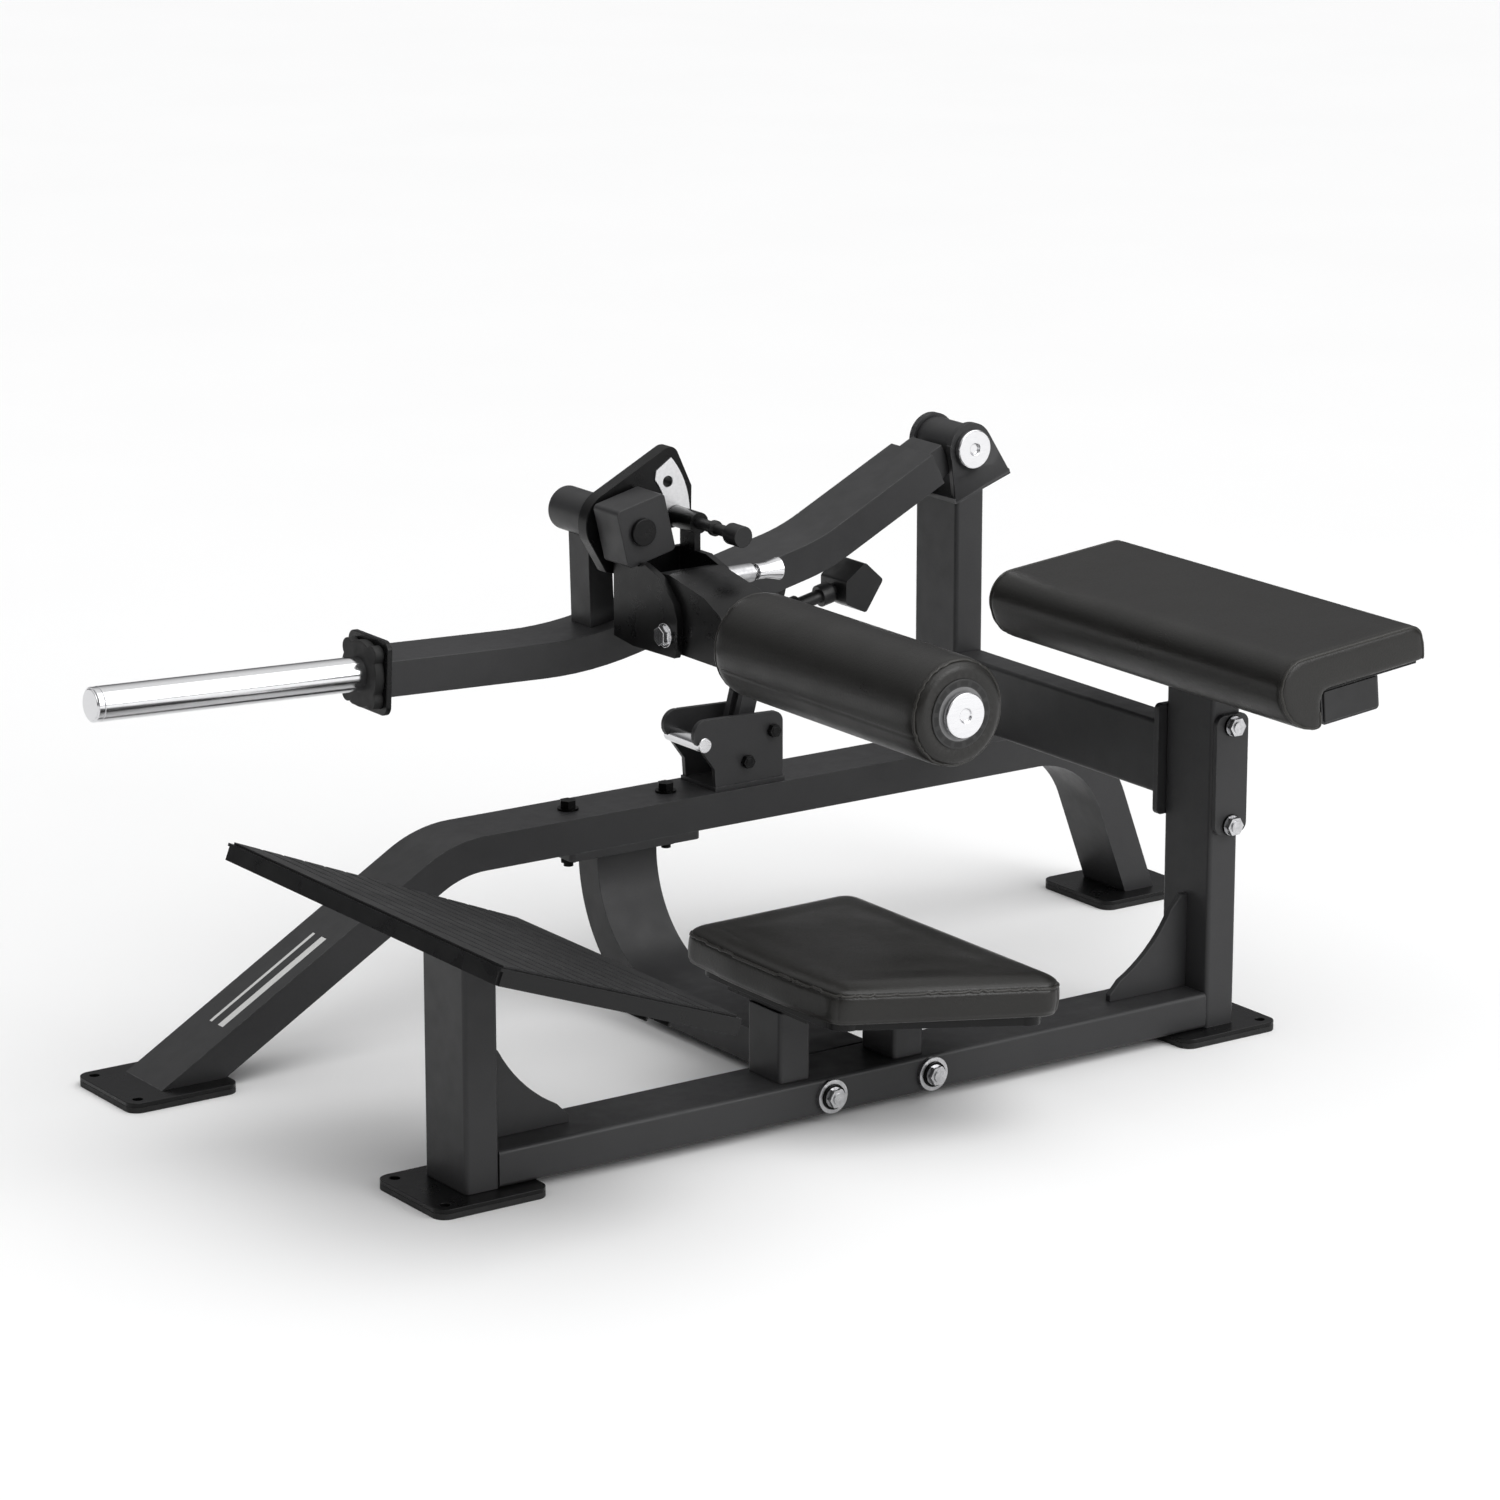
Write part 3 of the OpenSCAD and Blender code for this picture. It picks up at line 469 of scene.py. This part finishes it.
def piping(name, path, radius, body, closed=False, sides=10):
    """Tube along a path of points, kept upright by parallel transport, with closed ends."""
    bm = bmesh.new()
    n = len(path)
    normal, rings = None, []
    for i, p in enumerate(path):
        a = path[i - 1] if i or closed else path[0]
        b = path[(i + 1) % n] if i < n - 1 or closed else path[-1]
        ahead = (b - a).normalized()
        if normal is None:
            normal = ahead.orthogonal().normalized()
        normal = (normal - ahead * normal.dot(ahead)).normalized()
        side = ahead.cross(normal)
        turns = [k * math.tau / sides for k in range(sides)]
        rings.append([bm.verts.new(p + (normal * math.cos(t) + side * math.sin(t)) * radius) for t in turns])
    for i in range(n if closed else n - 1):
        r0, r1 = rings[i], rings[(i + 1) % n]
        shift = 0
        if closed and i == n - 1:
            shift = min(range(sides), key=lambda s: (r0[0].co - r1[s].co).length)
        for k in range(sides):
            bm.faces.new((r0[k], r0[(k + 1) % sides], r1[(k + 1 + shift) % sides], r1[(k + shift) % sides]))
    if not closed:
        bm.faces.new(list(reversed(rings[0])))
        bm.faces.new(rings[-1])
    bmesh.ops.recalc_face_normals(bm, faces=bm.faces)
    me = bpy.data.meshes.new(name)
    bm.to_mesh(me)
    bm.free()
    return new_object(name, me, PIPING_HIGHLIT_LEATHER, body)


def loft(name, rings, capped):
    """Mesh of quads between rings of equal length, capped at both ends or joined from the last ring to the first."""
    bm = bmesh.new()
    rings = [[bm.verts.new(p) for p in ring] for ring in rings]
    for a, b in zip(rings, rings[1:] if capped else rings[1:] + rings[:1]):
        for i in range(len(a)):
            j = (i + 1) % len(a)
            bm.faces.new((a[i], a[j], b[j], b[i]))
    if capped:
        bm.faces.new(list(reversed(rings[0])))
        bm.faces.new(rings[-1])
    bmesh.ops.recalc_face_normals(bm, faces=bm.faces)
    me = bpy.data.meshes.new(name)
    bm.to_mesh(me)
    bm.free()
    return me


def arc(cx, cy, r, a0, a1, n):
    """Points on a circle between two angles in degrees."""
    return [(cx + r * math.cos(math.radians(a0 + (a1 - a0) * i / n)),
             cy + r * math.sin(math.radians(a0 + (a1 - a0) * i / n))) for i in range(n + 1)]


def rounded(points, radii, n=8):
    """Closed 2D outline with each corner rounded to its radius."""
    out = []
    m = len(points)
    for i in range(m):
        p, q, s = Vector(points[i - 1]), Vector(points[i]), Vector(points[(i + 1) % m])
        u, v = (p - q).normalized(), (s - q).normalized()
        half = u.angle(v) / 2
        cut = min(radii[i] / math.tan(half), (p - q).length * 0.48, (s - q).length * 0.48)
        r = cut * math.tan(half)
        c = q + (u + v).normalized() * (r / math.sin(half))
        a, b = q + u * cut - c, q + v * cut - c
        for k in range(n + 1):
            w = a.lerp(b, k / n)
            out.append(tuple(c + w.normalized() * r))
    return out


def inner(points, d):
    """Moves every side of a counter-clockwise outline inwards by d."""
    out = []
    m = len(points)
    for i in range(m):
        p, q, s = (Vector(points[j % m]) for j in (i - 1, i, i + 1))
        a, b = (q - p).normalized(), (s - q).normalized()
        n, k = Vector((-a.y, a.x)), Vector((-b.y, b.x))
        out.append(tuple(q + (n + k) * (d / (1 + n.dot(k)))))
    return out


# ---------- seat cushion ----------

SEAT = Matrix.Translation((0.480, 0, 0.237)) @ Matrix.Rotation(math.radians(4.5), 4, "Y")
SEAT_CORNERS = [(0.006, -0.175), (0.334, -0.252), (0.334, 0.252), (0.006, 0.175), (-0.003, 0.06), (-0.003, -0.06)]
SEAT_RADII = [0.026, 0.032, 0.032, 0.026, 0.5, 0.5]
SEAT_LEVELS = [(-0.0558, 0.006), (-0.0525, 0.001), (-0.035, -0.0005), (-0.0165, 0.0005), (-0.0125, 0.002),
               (-0.0085, 0.006), (-0.0045, 0.0135), (-0.0016, 0.021), (-0.0002, 0.027), (0.0, 0.04)]

SEAT_SEAM, SEAT_LOW_SEAM = -0.0135, -0.0520
SEAT_CORNER_SEAMS = [(0.0105, -0.1725), (0.0105, 0.1725), (0.322, -0.2495), (0.322, 0.2495)]


def seat_loop(d):
    """Seat outline pulled in by d, with its corners rounded less as it shrinks."""
    return rounded(inner(SEAT_CORNERS, d), [max(r - d, 0.010) for r in SEAT_RADII])


def seat_cushion():
    """Wedge-shaped seat lofted from its outline, filled, then sewn: rim seam with piping, low seam, corner seams."""
    me = loft("seat_pad", [[(x, y, z) for x, y in seat_loop(d)] for z, d in SEAT_LEVELS], True)
    o = new_object("seat_pad", me, LEATHER, None)

    def free(p, n):
        """The underside stays flat, the sides and the rim keep their sewn shape, the middle of the top fills out."""
        if p.z < -0.0545 or n.z < -0.5:
            return 0.0
        half = 0.175 + 0.235 * (p.x - 0.006)
        rim = min(p.x, 0.336 - p.x, half - abs(p.y))
        return 0.06 + 0.94 * min(max((rim - 0.02) / 0.06, 0.0), 1.0)

    puffed(o, 4.0, 0.0045, free, 0.0045)
    seam = resample([Vector((x, y, SEAT_SEAM)) for x, y in seat_loop(-0.001)], 0.0012, True)
    groove(o, on_surface(o, seam, 0.0), 0.0013, 0.0026)
    groove(o, on_surface(o, [Vector((p.x, p.y, SEAT_LOW_SEAM)) for p in seam], 0.0), 0.0008, 0.002)
    for x, y in SEAT_CORNER_SEAMS:
        line = [Vector((x, y * 1.004, z * 0.001)) for z in range(-52, -13)]
        groove(o, on_surface(o, line, 0.0), 0.0010, 0.0016)
    pipe = on_surface(o, resample(seam, 0.004, True), 0.0003)
    o.data.transform(SEAT)
    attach(o, "frame")
    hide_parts("seat_cushion")
    piping("seat_piping", [SEAT @ p for p in pipe], 0.0021, "frame", True)


# ---------- back cushion ----------

BACK = Matrix.Translation((1.231, 0, 0.5345)) @ Matrix.Rotation(math.radians(-5.5), 4, "Y")
TOP_Z = 0.0813
BACK_EDGE = ([(0.120, 0.029), (0.120, 0.0593)] + arc(0.098, 0.0593, 0.022, 0, 90, 8)
             + [(0.05, TOP_Z), (0.0, TOP_Z), (-0.05, TOP_Z)] + arc(-0.0915, TOP_Z - 0.0395, 0.0395, 90, 180, 14)
             + arc(-0.067, TOP_Z - 0.0395, 0.064, 185, 265, 18) + [(-0.0620, -0.022), (-0.0620, 0.0)])


def back_cushion():
    """Back pad from its CAD solid, filled where it is free of the board, with piping round both ends."""
    me = NODES["back_cushion"].data.copy()
    me.transform(BACK.inverted())
    o = new_object("back_pad", me, LEATHER, None)
    baked(o, "WELD", merge_threshold=0.00002)

    def free(p, n):
        if n.z < -0.35 and p.x > -0.07:
            return 0.0
        if n.x > 0.6 and p.z < 0.03:
            return 0.0
        if abs(n.y) > 0.7:
            return 0.45
        return 0.8

    puffed(o, 4.0, 0.0055, free, 0.005)
    for side, name in ((-1, "back_piping_a"), (1, "back_piping_b")):
        path = [Vector((x, side * 0.3155, z)) for x, z in BACK_EDGE]
        path = resample(path, 0.0015, False)
        line = on_surface(o, [p + Vector((0, -side * 0.002, 0)) for p in path], 0.0)
        groove(o, line, 0.0014, 0.0028)
        pipe = on_surface(o, resample(path, 0.004, False), 0.0002)
        piping(name, [BACK @ p for p in pipe], 0.0023, "frame")
    o.data.transform(BACK)
    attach(o, "frame")
    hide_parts("back_cushion")


# ---------- roller pad ----------

def roller_pad():
    """Roller cover: a turned sleeve, filled, with piping and gathers at both ends and one seam along it."""
    r0 = 0.0461
    prof = [(-RY + 0.0042, 0.0225), (-RY + 0.0042, r0), (-RY + 0.0005, r0 + 0.0005), (-RY, 0.050),
            (-RY + 0.001, 0.060), (-RY + 0.004, 0.0665), (-RY + 0.009, 0.0705), (-RY + 0.016, 0.0722),
            (-RY + 0.03, RR)]
    prof += [(y * 0.01, RR) for y in range(-19, 20)]
    prof += [(-y, r) for y, r in reversed(prof[:9])]
    turns = [k * math.tau / 120 for k in range(120)]
    rings = [[(RX + r * math.cos(t), y, RZ + r * math.sin(t)) for t in turns] for y, r in prof]
    me = loft("roller_cover", rings, False)
    o = new_object("roller_cover", me, LEATHER, None)

    def free(p, n):
        r = math.hypot(p.x - RX, p.z - RZ)
        if r < 0.049:
            return 0.0
        return 0.35 if abs(p.y) > RY - 0.012 else 0.6

    puffed(o, 3.0, 0.003, free, 0.005)
    for side, name in ((-1, "roller_piping_a"), (1, "roller_piping_b")):
        ring = [Vector((RX + 0.0715 * math.cos(t), side * (RY - 0.0075), RZ + 0.0715 * math.sin(t)))
                for t in (k * math.tau / 300 for k in range(300))]
        groove(o, on_surface(o, ring, 0.0), 0.0014, 0.0025)
        piping(name, on_surface(o, ring[::3], 0.0002), 0.0022, "roller", True)
    a = math.radians(200)
    seam = [Vector((RX + RR * math.cos(a), y * 0.001, RZ + RR * math.sin(a))) for y in range(-222, 223)]
    groove(o, on_surface(o, seam, 0.0), 0.0009, 0.0018)
    # gathers where the cover is drawn in round the end plate
    for v in o.data.vertices:
        r = math.hypot(v.co.x - RX, v.co.z - RZ)
        if abs(v.co.y) > RY - 0.006 and 0.047 < r < 0.062:
            ang = math.atan2(v.co.z - RZ, v.co.x - RX)
            k = math.exp(-((r - 0.049) / 0.006) ** 2)
            v.co.y -= math.copysign(0.0009 * k * (1 + math.cos(ang * 28)) / 2, v.co.y)
    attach(o, "roller")
    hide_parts("roller_pad")


seat_cushion()
back_cushion()
roller_pad()


# ---------- camera, lights and floor ----------

EYE = (-3.34639, -5.50376, 2.31129)
HEADING, PITCH = 0.606337, -0.262087
LENS, SENSOR = 128.576, 36.0


def camera():
    """Camera fitted to the viewing angle of the reference view."""
    cam = bpy.data.cameras.new("view")
    cam.lens, cam.sensor_width = LENS, SENSOR
    o = bpy.data.objects.new("view", cam)
    SCENE.collection.objects.link(o)
    level = math.cos(PITCH)
    look = Vector((math.sin(HEADING) * level, math.cos(HEADING) * level, math.sin(PITCH)))
    o.location = EYE
    o.rotation_euler = look.to_track_quat("-Z", "Y").to_euler()
    cam.clip_start, cam.clip_end = 0.1, 200
    SCENE.camera = o


def area(name, at, target, size, power):
    l = bpy.data.lights.new(name, "AREA")
    l.shape = "RECTANGLE"
    l.size = l.size_y = size
    l.energy = power
    o = bpy.data.objects.new(name, l)
    SCENE.collection.objects.link(o)
    o.location = at
    o.rotation_euler = (Vector(target) - Vector(at)).to_track_quat("-Z", "Y").to_euler()


def studio():
    """Pale floor, a sky that is bright overhead and dim near the horizon, a broad sun and one soft side light."""
    bm = bmesh.new()
    bmesh.ops.create_grid(bm, x_segments=8, y_segments=8, size=60)
    me = bpy.data.meshes.new("floor")
    bm.to_mesh(me)
    bm.free()
    o = bpy.data.objects.new("floor", me)
    SCENE.collection.objects.link(o)
    m = Mat("floor_pale", rough=0.7, Specular_IOR_Level=0.1)
    m.color(m.mix(m.ranged(m.noise(1.5, 2), 0.0, 1.0), (0.90, 0.90, 0.90), (0.91, 0.91, 0.91)))
    me.materials.append(m.m)
    w = bpy.data.worlds.new("studio")
    SCENE.world = w
    w.use_nodes = True
    nt = w.node_tree
    bg = nt.nodes["Background"]
    co = nt.nodes.new("ShaderNodeTexCoord")
    sep = nt.nodes.new("ShaderNodeSeparateXYZ")
    ramp = nt.nodes.new("ShaderNodeValToRGB")
    nt.links.new(co.outputs["Generated"], sep.inputs[0])
    nt.links.new(sep.outputs["Z"], ramp.inputs[0])
    nt.links.new(ramp.outputs[0], bg.inputs["Color"])
    ramp.color_ramp.elements[0].color = (0.16, 0.16, 0.165, 1)
    ramp.color_ramp.elements[1].color = (1.0, 1.0, 1.0, 1)
    ramp.color_ramp.elements[0].position = 0.30
    ramp.color_ramp.elements[1].position = 0.80
    bg.inputs["Strength"].default_value = 0.95
    sun = bpy.data.lights.new("sun", "SUN")
    sun.energy, sun.angle = 1.7, math.radians(70)
    o = bpy.data.objects.new("sun", sun)
    SCENE.collection.objects.link(o)
    o.rotation_euler = Vector((-0.30, 0.62, -0.80)).to_track_quat("-Z", "Y").to_euler()
    area("side", (2.6, -4.2, 1.9), (0.7, 0.2, 0.4), 2.2, 60)


camera()
studio()
SCENE.view_settings.view_transform = "Standard"
